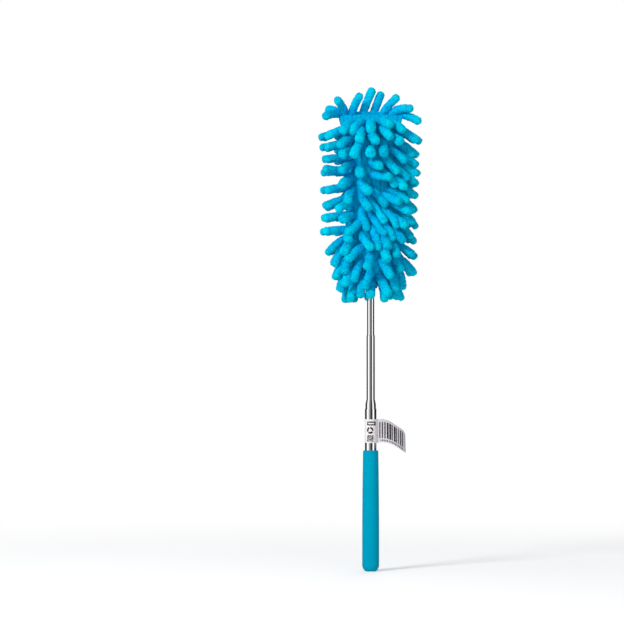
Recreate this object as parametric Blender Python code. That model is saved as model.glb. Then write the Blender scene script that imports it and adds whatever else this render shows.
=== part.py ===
"""Telescopic chenille duster: a five-section steel pole, a soft grip and a wire-cored microfibre head.

The duster stands on the end of its grip. +Z runs up the pole, the origin is the centre of the grip's
end face, and the head's flat top seam lies along X. Lengths below are in millimetres and become metres
where meshes are made. Each section's own heights count from the bottom of its tube.
"""

from math import cos, hypot, pi, radians, sin, tau

import bmesh
import bpy
from mathutils import Vector

MM = 0.001
MERGE = 1e-6  # metres: joins the start and end of a turned surface
SEGMENTS = 32  # facets round every turned piece
GAP = 0.3  # between pieces that are pressed or glued together

# Pole: five tubes, each 1.3 mm thinner than the one it slides in
SECTION_COUNT = 5
OUTER_TUBE_RADIUS = 7.0
RADIUS_STEP = 0.65
WALL = 0.3
TUBE_LENGTHS = [187.0, 181.0, 174.5, 168.5, 173.5]
TUBE_BOTTOMS = [8.0, 21.0, 30.5, 114.5, 188.5]  # heights in the rest pose
TIP_LENGTH = 1.6  # rolled-in end that keeps the next section's friction ring inside
TIP_CLEARANCE = 0.12

# Friction rings: split rings in a rolled groove near each inner tube's lower end
GROOVE_DEPTH = 0.22
GROOVE_BOTTOM = 3.0
GROOVE_RAMP = 0.4
RING_HEIGHT = 8.6
RING_END_PLAY = 0.2
RING_CLEARANCE = 0.06
RING_SLIT = radians(20)

# Grip
GRIP_LENGTH = 145.0
GRIP_RADIUS = 10.15
GRIP_NECK_RADIUS = 9.2
GRIP_TAPER_START = 37.0
GRIP_END_FILLET = 5.5
GRIP_FLOOR = 7.2

# Barcode label round the outer tube, with its loose ends stuck together as a flag
LABEL_BOTTOM = 154.0
LABEL_HEIGHT = 29.0
LABEL_THICKNESS = 0.3
FLAG_LENGTH = 36.0
FLAG_SAG = 10.0
FLAG_CURL = 13.0

# Head socket and the wire frame that it holds
SOCKET_BOTTOM = 339.5
SOCKET_HEIGHT = 33.0
SOCKET_COLLAR_HEIGHT = 18.5
SOCKET_COLLAR_RADIUS = 8.0
SOCKET_SPIGOT_RADIUS = 6.4
SOCKET_BORE_DEPTH = 23.0
RIVET_HEIGHT = 15.0
RIVET_RADIUS = 1.0
WIRE_RADIUS = 1.5
WIRE_LEG_OFFSET = 3.2
WIRE_LEG_BOTTOM = 25.0
WIRE_HALF_WIDTH = 18.0
WIRE_SPLAY = (35.0, 62.0)  # heights above the socket's bottom between which the legs spread
WIRE_TOP = 188.5
WIRE_SIDES = 10

# Chenille sleeve: a cloth sock, round for most of its height and flat at its top seam
NECK_RADIUS = 9.8
NECK_BOTTOM = 341.5
DOME_BOTTOM = 348.0
DOME_TOP = 372.0
FLARE_BOTTOM = 505.0
SEAM_HEIGHT = 551.5
CORE_RADIUS = 29.4
SEAM_HALF_WIDTH = 38.0
SEAM_HALF_THICKNESS = 1.6
CLOTH = 1.5
FLARE_HEIGHTS = (505.0, 512.0, 519.0, 526.0, 533.0, 540.0)  # of the rings inside the flattening top
COLUMNS = 16
ROWS = 13
NOODLE_LENGTH = 31.0
NOODLE_RADIUS = 4.8
NOODLE_TIP_RADIUS = 4.1
NOODLE_SIDES = 6
NOODLE_BEND = radians(12)

# Foam pads on either side of the wire
PAD_BOTTOM = 375.0
PAD_INSET = 3.2  # from the cloth's outer face to the foam
PAD_HALF_GAP = WIRE_RADIUS + 0.3


# Scene and materials


def clear_scene():
    for obj in list(bpy.data.objects):
        bpy.data.objects.remove(obj)


def material(name, colour, roughness, metallic=0.0):
    made = bpy.data.materials.new(name)
    made.use_nodes = True
    shader = made.node_tree.nodes["Principled BSDF"]
    shader.inputs["Base Color"].default_value = (*colour, 1.0)
    shader.inputs["Roughness"].default_value = roughness
    shader.inputs["Metallic"].default_value = metallic
    return made


def empty(name, height, parent=None):
    """An empty on the pole's axis, at a height above its parent's."""
    made = bpy.data.objects.new(name, None)
    made.location.z = height * MM
    made.parent = parent
    bpy.context.scene.collection.objects.link(made)
    return made


def add_object(name, mesh, finish, parent=None, height=0.0, smooth=radians(35)):
    """Turns a bmesh in metres into an object and shades its round faces smooth."""
    bmesh.ops.recalc_face_normals(mesh, faces=mesh.faces)
    data = bpy.data.meshes.new(name)
    mesh.to_mesh(data)
    mesh.free()
    data.shade_smooth()
    data.set_sharp_from_angle(angle=smooth)
    made = bpy.data.objects.new(name, data)
    data.materials.append(finish)
    made.parent = parent
    made.location.z = height * MM
    bpy.context.scene.collection.objects.link(made)
    return made


def cut(target, *cutters):
    """Takes the cutters away from the target with exact Booleans."""
    for cutter in cutters:
        cutter.hide_render = True
        cutter.display_type = "WIRE"
        boolean = target.modifiers.new("cut", "BOOLEAN")
        boolean.operation = "DIFFERENCE"
        boolean.solver = "EXACT"
        boolean.object = cutter


# Shapes


def arc(centre, radius, start, end, steps):
    """Points on a circular arc in the (radius, height) plane, angles in degrees."""
    turns = [radians(start + (end - start) * i / steps) for i in range(steps + 1)]
    return [(centre[0] + radius * cos(a), centre[1] + radius * sin(a)) for a in turns]


def turned(outline, segments=SEGMENTS):
    """A bmesh turned about Z from (radius, height) points, closed on the axis or back on itself."""
    mesh = bmesh.new()
    corners = [mesh.verts.new((r * MM, 0, z * MM)) for r, z in outline]
    pairs = list(zip(corners, corners[1:]))
    if outline[0][0] > 0:
        pairs.append((corners[-1], corners[0]))
    edges = [mesh.edges.new(pair) for pair in pairs]
    bmesh.ops.spin(
        mesh, geom=corners + edges, axis=(0, 0, 1), angle=tau, steps=segments, use_merge=True
    )
    bmesh.ops.remove_doubles(mesh, verts=mesh.verts, dist=MERGE)
    return mesh


def split_ring(inner, outer, height, chamfer):
    """A bmesh of a ring with a slit, its four long edges chamfered."""
    mesh = bmesh.new()
    outline = [
        (inner, chamfer),
        (inner + chamfer, 0),
        (outer - chamfer, 0),
        (outer, chamfer),
        (outer, height - chamfer),
        (outer - chamfer, height),
        (inner + chamfer, height),
        (inner, height - chamfer),
    ]
    steps = SEGMENTS - 2
    rings = []
    for i in range(steps + 1):
        turn = RING_SLIT / 2 + (tau - RING_SLIT) * i / steps
        rings.append(
            [mesh.verts.new((r * MM * cos(turn), r * MM * sin(turn), z * MM)) for r, z in outline]
        )
    bridge(mesh, rings)
    mesh.faces.new(rings[0])
    mesh.faces.new(rings[-1])
    return mesh


def bridge(mesh, rings):
    """Quads between each pair of neighbouring closed rings."""
    for low, high in zip(rings, rings[1:]):
        for i in range(len(low)):
            j = (i + 1) % len(low)
            mesh.faces.new((low[i], low[j], high[j], high[i]))


def rod(name, radius, bottom, top, x=0.0, along_y=False):
    """A plain round bar along Z, or along Y through the axis, used as a cutter."""
    mesh = turned([(0, bottom), (radius, bottom), (radius, top), (0, top)], segments=12)
    made = add_object(name, mesh, finishes["steel"])
    if along_y:
        made.rotation_euler.x = radians(90)
    made.location.x = x * MM
    return made


# Pole


def tube_radius(section):
    return OUTER_TUBE_RADIUS - RADIUS_STEP * section


def tube_outline(section):
    """Outline of one tube: a rolled-in tip and, on the inner tubes, a rolled groove near the bottom."""
    radius = tube_radius(section)
    length = TUBE_LENGTHS[section]
    last = section == SECTION_COUNT - 1
    outside = [(radius, 0)]
    if section > 0:
        ring_space = RING_HEIGHT + 2 * RING_END_PLAY
        groove = radius - GROOVE_DEPTH
        outside += [
            (radius, GROOVE_BOTTOM - GROOVE_RAMP),
            (groove, GROOVE_BOTTOM),
            (groove, GROOVE_BOTTOM + ring_space),
            (radius, GROOVE_BOTTOM + ring_space + GROOVE_RAMP),
        ]
    if last:
        outside += [(radius, length)]
    else:
        tip = tube_radius(section + 1) + TIP_CLEARANCE + WALL
        outside += [
            (radius, length - TIP_LENGTH),
            (tip + (radius - tip) * 0.7, length - TIP_LENGTH * 0.4),
            (tip, length),
        ]
    return outside + [(r - WALL, z) for r, z in reversed(outside)]


def add_tube(section, parent):
    name = f"pole_tube_{section + 1}"
    return add_object(name, turned(tube_outline(section)), finishes["steel"], parent)


def add_friction_ring(section, parent):
    """Split nylon ring that sits in the tube's groove and rubs on the bore of the tube outside it."""
    inner = tube_radius(section) - GROOVE_DEPTH + RING_CLEARANCE
    outer = tube_radius(section - 1) - WALL - RING_CLEARANCE
    mesh = split_ring(inner, outer, RING_HEIGHT, chamfer=0.15)
    name = f"friction_ring_{section + 1}"
    return add_object(name, mesh, finishes["nylon"], parent, GROOVE_BOTTOM + RING_END_PLAY)


def add_end_plug(parent):
    """Plug in the bottom of the outer tube, which the inner tubes land on when they are pushed home."""
    radius = OUTER_TUBE_RADIUS - WALL - 0.1
    outline = [(0, 0), (radius, 0), (radius, 11.0), (radius - 1.0, 12.0), (0, 12.0)]
    return add_object("pole_end_plug", turned(outline), finishes["black_plastic"], parent, 0.3)


# Grip and label


def grip_radius(height):
    """The grip is straight near its end and tapers gently towards the pole."""
    share = max(0.0, height - GRIP_TAPER_START) / (GRIP_LENGTH - GRIP_TAPER_START)
    return GRIP_RADIUS - (GRIP_RADIUS - GRIP_NECK_RADIUS) * share**1.9


def add_grip():
    bore = OUTER_TUBE_RADIUS + GAP
    lip = 1.2
    fillet = arc((GRIP_RADIUS - GRIP_END_FILLET, GRIP_END_FILLET), GRIP_END_FILLET, -90, 0, 6)
    side = [(grip_radius(z), z) for z in (GRIP_TAPER_START, 65.0, 90.0, 112.0, 130.0)]
    rim = arc((GRIP_NECK_RADIUS - lip, GRIP_LENGTH - lip), lip, 0, 90, 4)
    inside = [(bore, GRIP_LENGTH), (bore, GRIP_FLOOR), (0, GRIP_FLOOR)]
    outline = [(0, 0)] + fillet + side + rim + inside
    return add_object("grip_sleeve", turned(outline), finishes["grip_rubber"])


def flag_point(share):
    """Centre line of the label's flag: out along X, curling back along +Y, sagging along -Z."""
    bend = share * radians(62)
    reach = FLAG_LENGTH * (0.72 * share + 0.28 * sin(bend) / radians(62))
    return Vector((reach, FLAG_CURL * share**3, -FLAG_SAG * share**1.6))


def add_label():
    """Paper wrapped once round the outer tube, its ends stuck back to back as a flag."""
    mesh = bmesh.new()
    inner = OUTER_TUBE_RADIUS + 0.15
    outer = inner + LABEL_THICKNESS
    root = LABEL_THICKNESS / outer  # half the angle that the flag's root takes
    turns = [root] + [tau * i / SEGMENTS for i in range(1, SEGMENTS)] + [tau - root]

    def loop(radius, height):
        return [mesh.verts.new((radius * MM * cos(a), radius * MM * sin(a), height)) for a in turns]

    low, high = LABEL_BOTTOM * MM, (LABEL_BOTTOM + LABEL_HEIGHT) * MM
    outside_low, outside_high = loop(outer, low), loop(outer, high)
    inside_low, inside_high = loop(inner, low), loop(inner, high)
    walls = [inside_low, inside_high, outside_high, outside_low]
    for first, second in zip(walls, walls[1:] + walls[:1]):
        for i in range(len(turns)):
            j = (i + 1) % len(turns)
            if first is outside_high and j == 0:
                continue  # the flag's root takes this face's place
            mesh.faces.new((first[i], first[j], second[j], second[i]))
    section = [outside_low[-1], outside_low[0], outside_high[0], outside_high[-1]]
    steps = 10
    for i in range(1, steps + 1):
        here, before = flag_point(i / steps), flag_point((i - 1) / steps)
        along = (here - before).normalized()
        side = Vector((-along.y, along.x, 0)).normalized() * LABEL_THICKNESS
        centre = here + Vector((outer, 0, 0))
        corners = []
        for sign, height in ((-1, low), (1, low), (1, high), (-1, high)):
            point = (centre + side * sign) * MM
            corners.append(mesh.verts.new((point.x, point.y, point.z + height)))
        bridge(mesh, [section, corners])
        section = corners
    mesh.faces.new(section)
    return add_object("barcode_label", mesh, finishes["paper"])


# Head frame


def add_socket(parent):
    """Moulded socket: its collar grips the inner tube, and its spigot holds the wire's two legs."""
    bore = tube_radius(SECTION_COUNT - 1) + GAP
    collar, spigot = SOCKET_COLLAR_RADIUS, SOCKET_SPIGOT_RADIUS
    edge = 0.8
    outline = [
        (0, SOCKET_HEIGHT),
        (spigot - edge, SOCKET_HEIGHT),
        (spigot, SOCKET_HEIGHT - edge),
        (spigot, SOCKET_COLLAR_HEIGHT),
        (collar - edge, SOCKET_COLLAR_HEIGHT),
        (collar, SOCKET_COLLAR_HEIGHT - edge),
        (collar, edge),
        (collar - edge, 0),
        (bore, 0),
        (bore, SOCKET_BORE_DEPTH),
        (0, SOCKET_BORE_DEPTH),
    ]
    socket = add_object("head_socket", turned(outline), finishes["black_plastic"], parent)
    hole = WIRE_RADIUS + 0.25
    bottom, top = WIRE_LEG_BOTTOM - 0.4, SOCKET_HEIGHT + 2
    legs = [rod(f"leg_hole_{side}", hole, bottom, top, side * WIRE_LEG_OFFSET) for side in (-1, 1)]
    rivet_hole = rod("socket_rivet_hole", RIVET_RADIUS + 0.15, -12, 12, along_y=True)
    rivet_hole.location.z = RIVET_HEIGHT * MM
    for cutter in (*legs, rivet_hole):
        cutter.parent = parent
    cut(socket, *legs, rivet_hole)
    return socket


def add_rivet(parent):
    """Rivet across the collar and the tube, with a dome on each end."""
    grip = SOCKET_COLLAR_RADIUS + 0.15
    dome, head = 1.9, 0.7
    half = [(dome, grip), (dome * 0.75, grip + head * 0.8), (0, grip + head)]
    outline = [(0, -grip - head), (dome * 0.75, -grip - head * 0.8), (dome, -grip)]
    outline += [(RIVET_RADIUS, -grip), (RIVET_RADIUS, grip)] + half
    rivet = add_object("socket_rivet", turned(outline, 16), finishes["steel"], parent, RIVET_HEIGHT)
    rivet.rotation_euler.x = radians(90)
    return rivet


def add_wire(parent):
    """Soft steel wire bent into a hairpin that spreads the sleeve from inside."""
    spread_start, spread_end = WIRE_SPLAY
    half = [
        (WIRE_LEG_OFFSET, WIRE_LEG_BOTTOM),
        (WIRE_LEG_OFFSET, spread_start),
        (WIRE_LEG_OFFSET + 3.7, spread_start + 9),
        (WIRE_HALF_WIDTH - 2.0, spread_end - 9),
        (WIRE_HALF_WIDTH, spread_end),
    ]
    half += arc((0, WIRE_TOP - WIRE_HALF_WIDTH), WIRE_HALF_WIDTH, 0, 90, 8)
    points = [Vector((x, 0, z)) for x, z in half + [(-x, z) for x, z in reversed(half[:-1])]]
    mesh = bmesh.new()
    rings = []
    for i, point in enumerate(points):
        along = (points[min(i + 1, len(points) - 1)] - points[max(i - 1, 0)]).normalized()
        across = along.cross(Vector((0, 1, 0)))
        turns = [tau * k / WIRE_SIDES for k in range(WIRE_SIDES)]
        offsets = [across * cos(a) + Vector((0, sin(a), 0)) for a in turns]
        rings.append([mesh.verts.new((point + offset * WIRE_RADIUS) * MM) for offset in offsets])
    bridge(mesh, rings)
    mesh.faces.new(rings[0])
    mesh.faces.new(rings[-1])
    return add_object("core_wire", mesh, finishes["steel"], parent)


# Chenille sleeve


def smoothstep(value):
    value = min(1.0, max(0.0, value))
    return value * value * (3 - 2 * value)


def half_width(height):
    """Half the sleeve's size along X at a height on its side."""
    share = smoothstep((height - FLARE_BOTTOM) / (SEAM_HEIGHT - FLARE_BOTTOM))
    return CORE_RADIUS + (SEAM_HALF_WIDTH - CORE_RADIUS) * share


def half_depth(height):
    """Half the sleeve's size along Y: it falls to the seam's thickness at the top."""
    share = max(0.0, (height - FLARE_BOTTOM) / (SEAM_HEIGHT - FLARE_BOTTOM))
    return SEAM_HALF_THICKNESS + (CORE_RADIUS - SEAM_HALF_THICKNESS) * cos(share * pi / 2)


def sleeve_point(turn, height, inset=0.0):
    """A point on the sleeve's side. Columns stay evenly spaced as its section goes flat."""
    flatness = smoothstep((height - FLARE_BOTTOM) / (SEAM_HEIGHT - FLARE_BOTTOM))
    turn = turn % tau
    ramp = (1 - 2 * min(turn, tau - turn) / pi) / (1 - 2 / COLUMNS)
    edge = 2 * sin(turn) / sin(tau / COLUMNS)
    x = (1 - flatness) * cos(turn) + flatness * min(1.0, max(-1.0, ramp))
    y = (1 - flatness) * sin(turn) + flatness * min(1.0, max(-1.0, edge))
    return Vector(((half_width(height) - inset) * x, (half_depth(height) - inset) * y, height))


def dome_point(turn, share, inset=0.0):
    """A point on the gathered lower end, from the neck at share 0 to the side at share 1."""
    lift = share * pi / 2
    radius = NECK_RADIUS + (CORE_RADIUS - NECK_RADIUS) * sin(lift) - inset
    height = DOME_TOP - (DOME_TOP - DOME_BOTTOM) * cos(lift) + inset * (1 - share)
    return Vector((radius * cos(turn), radius * sin(turn), height))


DOME_ARC = hypot(CORE_RADIUS - NECK_RADIUS, DOME_TOP - DOME_BOTTOM)
SIDE_ARC = SEAM_HEIGHT - DOME_TOP


def surface_point(turn, travel):
    """A point on the outer cloth, by the distance travelled up it from the neck."""
    if travel < DOME_ARC:
        return dome_point(turn, travel / DOME_ARC)
    return sleeve_point(turn, DOME_TOP + travel - DOME_ARC)


def noodle_droop(share):
    """Elevation of a noodle on the sleeve, from the bottom row at share 0 to the seam at share 1."""
    hang = -72 + 62 * smoothstep(share / 0.75)
    lift = 84 * smoothstep((share - 0.84) / 0.16)
    return radians(hang + lift)


def grow_noodle(mesh, cell, around, up, outward, share):
    """Replaces a six-cornered cell of cloth with a noodle: a root ring, two more rings and a tip."""
    centre = sum((v.co for v in cell), Vector()) / (len(cell) * MM)
    width = (cell[2].co - cell[5].co).length / MM
    elevation = noodle_droop(share)
    flat = Vector((outward.x, outward.y, 0)).normalized()
    fan = Vector((centre.x / SEAM_HALF_WIDTH * 0.55, 0, 0)) * smoothstep((share - 0.8) / 0.2)
    flat = (flat + fan).normalized()
    rings = [cell]
    stations = (
        (0.0, 0.37 * width, 0.0),
        (0.5, NOODLE_RADIUS, NOODLE_BEND),
        (0.92, NOODLE_TIP_RADIUS, -NOODLE_BEND),
    )
    position, before = centre + outward * 0.6, 0.0
    for reach, radius, bend in stations:
        heading = flat * cos(elevation + bend) + Vector((0, 0, sin(elevation + bend)))
        position = position + heading * (reach - before) * NOODLE_LENGTH
        before = reach
        if reach == 0:
            across, lift = around, up
        else:
            across = (around - heading * around.dot(heading)).normalized()
            lift = heading.cross(across)
        ring = []
        for i in range(NOODLE_SIDES):
            turn = tau * i / NOODLE_SIDES - radians(120)
            offset = (across * cos(turn) + lift * sin(turn)) * radius
            ring.append(mesh.verts.new((position + offset) * MM))
        rings.append(ring)
    bridge(mesh, rings)
    tip = mesh.verts.new((position + heading * NOODLE_LENGTH * 0.08) * MM)
    for i in range(NOODLE_SIDES):
        mesh.faces.new((rings[-1][i], rings[-1][(i + 1) % NOODLE_SIDES], tip))


def add_sleeve(parent):
    """One solid: the cloth sock with its noodles, laid out like brickwork in rows and columns."""
    mesh = bmesh.new()
    levels = 2 * ROWS + 1
    step = (DOME_ARC + SIDE_ARC) / levels
    turns = [tau * (c - 0.5) / COLUMNS for c in range(COLUMNS)]
    grid = [[mesh.verts.new(surface_point(a, k * step) * MM) for a in turns] for k in range(levels + 1)]
    for column in range(COLUMNS):
        left, right = column, (column + 1) % COLUMNS
        first = column % 2
        plain = 0 if first else levels - 1
        mesh.faces.new(
            (grid[plain][left], grid[plain][right], grid[plain + 1][right], grid[plain + 1][left])
        )
        for k in range(first, first + 2 * ROWS, 2):
            cell = [grid[k][left], grid[k][right], grid[k + 1][right]]
            cell += [grid[k + 2][right], grid[k + 2][left], grid[k + 1][left]]
            around = (cell[2].co - cell[5].co).normalized()
            up = (cell[3].co + cell[4].co - cell[0].co - cell[1].co).normalized()
            up = (up - around * up.dot(around)).normalized()
            grow_noodle(mesh, cell, around, up, around.cross(up), (k + 1) / levels)
    mesh.faces.new(grid[-1])

    def ring(place):
        return [mesh.verts.new(place(a) * MM) for a in turns]

    def neck(radius):
        return lambda a: Vector((radius * cos(a), radius * sin(a), NECK_BOTTOM))

    inside = [ring(neck(NECK_RADIUS)), ring(neck(NECK_RADIUS - CLOTH + 0.1))]
    inside += [ring(lambda a, s=s: dome_point(a, s, CLOTH)) for s in (0.0, 0.35, 0.7, 1.0)]
    inside += [ring(lambda a, h=h: sleeve_point(a, h, CLOTH)) for h in FLARE_HEIGHTS]
    bridge(mesh, [grid[0]] + inside)
    mesh.faces.new(inside[-1])
    return add_object("chenille_sleeve", mesh, finishes["chenille"], parent, smooth=radians(60))


def add_neck_tie(parent):
    """Cord that ties the sleeve's gathered neck onto the socket's collar."""
    cord = 0.9
    outline = arc((NECK_RADIUS + cord + GAP, 0), cord, 0, 315, 7)
    height = NECK_BOTTOM + 2.5
    return add_object("neck_tie_cord", turned(outline, 24), finishes["chenille"], parent, height)


def add_foam_pad(side, parent):
    """One of two foam pads, D-shaped in section, that fill the sleeve on either side of the wire."""
    mesh = bmesh.new()
    turns = [tau * (c - 0.5) / COLUMNS for c in range(1, COLUMNS // 2 + 1)]
    rings = []
    for height in (PAD_BOTTOM, *FLARE_HEIGHTS[:-1]):
        bow = [sleeve_point(turn, height, PAD_INSET) for turn in turns]
        corners = [Vector((p.x, PAD_HALF_GAP, height)) for p in (bow[0], bow[-1])]
        ring = [corners[0], *bow, corners[1]]
        rings.append([mesh.verts.new(Vector((p.x, p.y * side, p.z)) * MM) for p in ring])
    bridge(mesh, rings)
    mesh.faces.new(rings[0])
    mesh.faces.new(rings[-1])
    name = "foam_pad_back" if side > 0 else "foam_pad_front"
    return add_object(name, mesh, finishes["foam"], parent)


# Assembly


def build():
    add_grip()
    add_label()
    parent = None
    for section in range(SECTION_COUNT):
        below = TUBE_BOTTOMS[section - 1] if section else 0.0
        parent = empty(f"section_{section + 1}", TUBE_BOTTOMS[section] - below, parent)
        tube = add_tube(section, parent)
        if section:
            add_friction_ring(section, parent)
        else:
            add_end_plug(parent)
    rivet_hole = rod("tube_rivet_hole", RIVET_RADIUS + 0.15, -12, 12, along_y=True)
    rivet_hole.parent = parent
    rivet_hole.location.z = (SOCKET_BOTTOM + RIVET_HEIGHT - TUBE_BOTTOMS[-1]) * MM
    cut(tube, rivet_hole)

    head = empty("head", SOCKET_BOTTOM - TUBE_BOTTOMS[-1], parent)
    add_socket(head)
    add_rivet(head)
    add_wire(head)
    head_world = empty("head_cloth", -SOCKET_BOTTOM, head)  # at the height of the grip's end
    add_sleeve(head_world)
    add_neck_tie(head_world)
    for side in (-1, 1):
        add_foam_pad(side, head_world)


clear_scene()
finishes = {
    "steel": material("polished_steel", (0.72, 0.72, 0.74), 0.12, 1.0),
    "nylon": material("nylon", (0.85, 0.84, 0.80), 0.45),
    "black_plastic": material("black_plastic", (0.03, 0.03, 0.03), 0.5),
    "grip_rubber": material("grip_rubber", (0.0, 0.35, 0.52), 0.7),
    "paper": material("label_paper", (0.9, 0.88, 0.88), 0.6),
    "chenille": material("chenille", (0.0, 0.38, 0.62), 0.95),
    "foam": material("foam", (0.88, 0.87, 0.80), 0.95),
}
build()
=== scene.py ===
"""Looks for a telescopic chenille duster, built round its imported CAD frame.

Lengths are in millimetres and become metres where meshes are made. +Z runs up the pole from the
grip's end, the camera looks along +Y, and the head's flat top seam lies along X.
"""

from math import cos, hypot, pi, radians, sin, tau

import bpy
import numpy as np
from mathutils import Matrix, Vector, noise


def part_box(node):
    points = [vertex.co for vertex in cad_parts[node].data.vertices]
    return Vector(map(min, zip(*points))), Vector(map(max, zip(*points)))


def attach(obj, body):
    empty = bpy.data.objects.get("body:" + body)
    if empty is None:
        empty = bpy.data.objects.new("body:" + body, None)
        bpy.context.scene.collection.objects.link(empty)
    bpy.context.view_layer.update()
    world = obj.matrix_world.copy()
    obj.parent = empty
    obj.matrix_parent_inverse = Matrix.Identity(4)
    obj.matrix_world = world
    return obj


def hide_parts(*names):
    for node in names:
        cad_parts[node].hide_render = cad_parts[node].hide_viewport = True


MM = 0.001
SEED = 7

# Camera: level, square to the front and off to one side
CAMERA_X = -70.4
CAMERA_HEIGHT = 311.0
CAMERA_DISTANCE = 4000.0
FRAME_WIDTH = 748.8
SENSOR = 36.0

# What the polished pole mirrors all round: degrees from the front and brightness there
PANELS = (
    *((-180, 1.10), (-166, 1.10), (-162, 0.35), (-152, 0.30), (-147, 0.02), (-86, 0.03)),
    *((-79, 1.15), (-44, 1.15), (-39, 0.50), (-9, 0.28), (-2, 0.05), (35, 0.04)),
    *((41, 1.15), (70, 1.15), (76, 0.02), (147, 0.02), (152, 0.30), (162, 0.35)),
    *((166, 1.10), (180, 1.10)),
)

# Pole
SMOOTH_SEGMENTS = 96
WALL = 0.3
GROOVE_DEPTH = 0.22
GROOVE_BOTTOM = 3.0
GROOVE_TOP = 12.0
GROOVE_EASE = 0.4  # run of the groove's sloping sides
TIP_LENGTH = 1.6  # rolled-in end of a tube
TIP_CLEARANCE = 0.12

# Grip
GRIP_FILLET = 5.5
GRIP_FILLET_HEIGHT = 7.5
GRIP_RIM = 1.5
GRIP_TAPER_START = 37.0
GRIP_NECK_RADIUS = 9.2
GRIP_FLOOR = 8.0

# Label: a band round the outer tube whose two ends are stuck together as a flag
LABEL_BOTTOM = 154.2
LABEL_HEIGHT = 28.2
LABEL_GAP = 0.06
LABEL_ROWS = 24
BAND_COLUMNS = 97
FLAG_COLUMNS = 49
PAPER = 0.14
# Stations along the flag: distance out, distance back, height of the lower edge, and backward tilt
FLAG_STATIONS = (
    (7.3, 0.0, 154.2, 0.0),
    (11.0, -0.5, 154.3, 0.0),
    (16.5, -0.4, 154.2, 0.12),
    (22.8, 0.2, 153.0, 0.28),
    (28.4, 1.4, 150.7, 0.40),
    (33.0, 3.1, 148.0, 0.44),
    (36.8, 5.2, 145.5, 0.45),
    (39.6, 8.0, 143.6, 0.50),
    (41.5, 11.0, 142.4, 0.60),
    (42.4, 14.2, 141.9, 0.70),
)

# Sleeve, in the CAD solid's own terms
CORE_RADIUS = 29.4
SEAM_HALF_WIDTH = 38.0
SEAM_HALF_THICKNESS = 1.6
SEAM_HEIGHT = 551.5
FLARE_BOTTOM = 505.0
NECK_RADIUS = 9.8
NECK_BOTTOM = 341.5
DOME_BOTTOM = 348.0
DOME_TOP = 372.0
CLOTH = 1.2
HEM = 9.0  # flattened cloth below the top edge
HEM_STITCH = 3.0  # from the top edge to its line of stitches
PUFF = 0.7  # how far the cloth stands out between the sewn columns
SEAM_DEPTH = 1.1
CLOTH_WOBBLE = 0.9
CLOTH_AROUND = 320
CLOTH_UP = 170
BARE_HEM = 13.5  # cloth without noodles below the top seam
COLUMNS = 16
FRONT_COLUMN = 12  # the one that faces the camera
FLANK_COLUMNS = 6  # how many columns away from the front one the flanks end
ROWS = 13

# Noodles
NOODLE_LENGTH = 31.5
NOODLE_RADIUS = 4.5
RIGHT_LONGER = 0.06  # noodles that point to the right are this much longer
FRONT_FULLER = 0.26  # noodles that face the front are this much thicker
TAPER = 0.06  # and the others this much slimmer at their tips
NOODLE_NODES = 8
FRONT_SPREAD, FLANK_SPREAD, BACK_SPREAD = 1.5, 3.0, 8.0  # random turn of the headings in degrees
TIER_SPREAD = 0.7
SINK = 0.8  # how far a noodle may press into the cloth
SEAM_ROOT_DEPTH = 2.5
PACKING = 0.92  # share of their thickness at which two noodles' sides settle against each other
SETTLE_ROUNDS, QUICK_ROUNDS = 60, 12
PUSH_SHARE = 0.45  # share of a push that one round carries out
PUSH_LIMIT = 1.2
CHUNK = 400  # points compared with all others at once
ROOT_STIFFNESS, TIP_STIFFNESS = 0.30, 0.10
BURIED = 0.03  # share of a noodle that starts inside the cloth
TIP_RINGS = 12
TIP_START = 0.86  # place along a noodle where its end starts to round off
NOODLE_SIDES = 48
NOODLE_RINGS = 60
NOODLE_VARIANTS = 12
KNOB_SIZE = 2.0
KNOB_DEPTH = 0.62
LUMP_SIZE = 7.0
LUMP_DEPTH = 0.35

# How far each noodle of the front columns reaches sideways and up, from the top row down
FRONT_REACH = {
    -2: (
        *((-13, -14), (-20, -13), (-16, -9), (-16, -11), (-16, -13), (-7, -19), (-21, -10)),
        *((-14, -8), (-4, -10), (-11, -15), (-11, -27), (-13, -21), (-13, -22)),
    ),
    -1: (
        *((-12, -23), (-4, -15), (-10, -17), None, (-1, -7), (10, -13), (12, -20)),
        *((9, -30), (-22, -21), (15, -20), (-20, -17), (-10, -29), (-2, -26)),
    ),
    0: (
        *((-1, -12), (6, -9), (-2, -7), (12, -7), (24, -1), (22, -22), (18, -26)),
        *((17, -26), (11, -28), None, (-6, -18), (-9, -28), (-1, -20)),
    ),
    1: (
        *((12, -9), (11, -10), (3, -16), (20, -22), (22, -21), None, (26, -10)),
        *((23, -21), (20, -23), (9, -16), (3, -15), (11, -20), (11, -24)),
    ),
    2: (
        *((18, -11), (14, -10), (22, -16), (22, -20), (15, -15), (24, -17), (24, -14)),
        *((15, -14), (16, -18), (9, -19), (16, -24), (10, -28), (2, -27)),
    ),
}
# The flanks' noodles lie in tiers: height of the roots and elevation in degrees, from the top tier down
LEFT_TIERS = (
    *((530.5, -22), (513.5, -12), (496, -7), (480, 0), (461.5, -8), (446.5, -22), (427.5, -10)),
    *((410.5, -7), (401, -42), (390.5, -67), (378, -68), (364.5, -66), (353, -74)),
)
RIGHT_TIERS = (
    *((530.5, -31), (516.5, -38), (503.5, -34), (491, -28), (480.5, -29), (465, -31), (449.5, -37)),
    *((433, -40), (416, -41), (392.5, -37), (378, -46), (365.5, -68), (354.5, -66)),
)
BACK_ELEVATIONS = (-14, -12, -14, -12, -16, -24, -28, -34, -38, -42, -46, -50, -54)
# Noodles sewn into the top seam: place along it, heading in degrees from the X axis, and lean to the front
SEAM_NOODLES = (
    (-37, 196, 50),
    (-36.5, 158, -56),
    (-30, 126, 50),
    (-23, 64, 45),
    (-9.5, 68, -8),
    (3.5, 69, -22),
    (14, 47, 26),
    (24, 6, 30),
    (31.5, -22, 30),
)


# Small helpers


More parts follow.
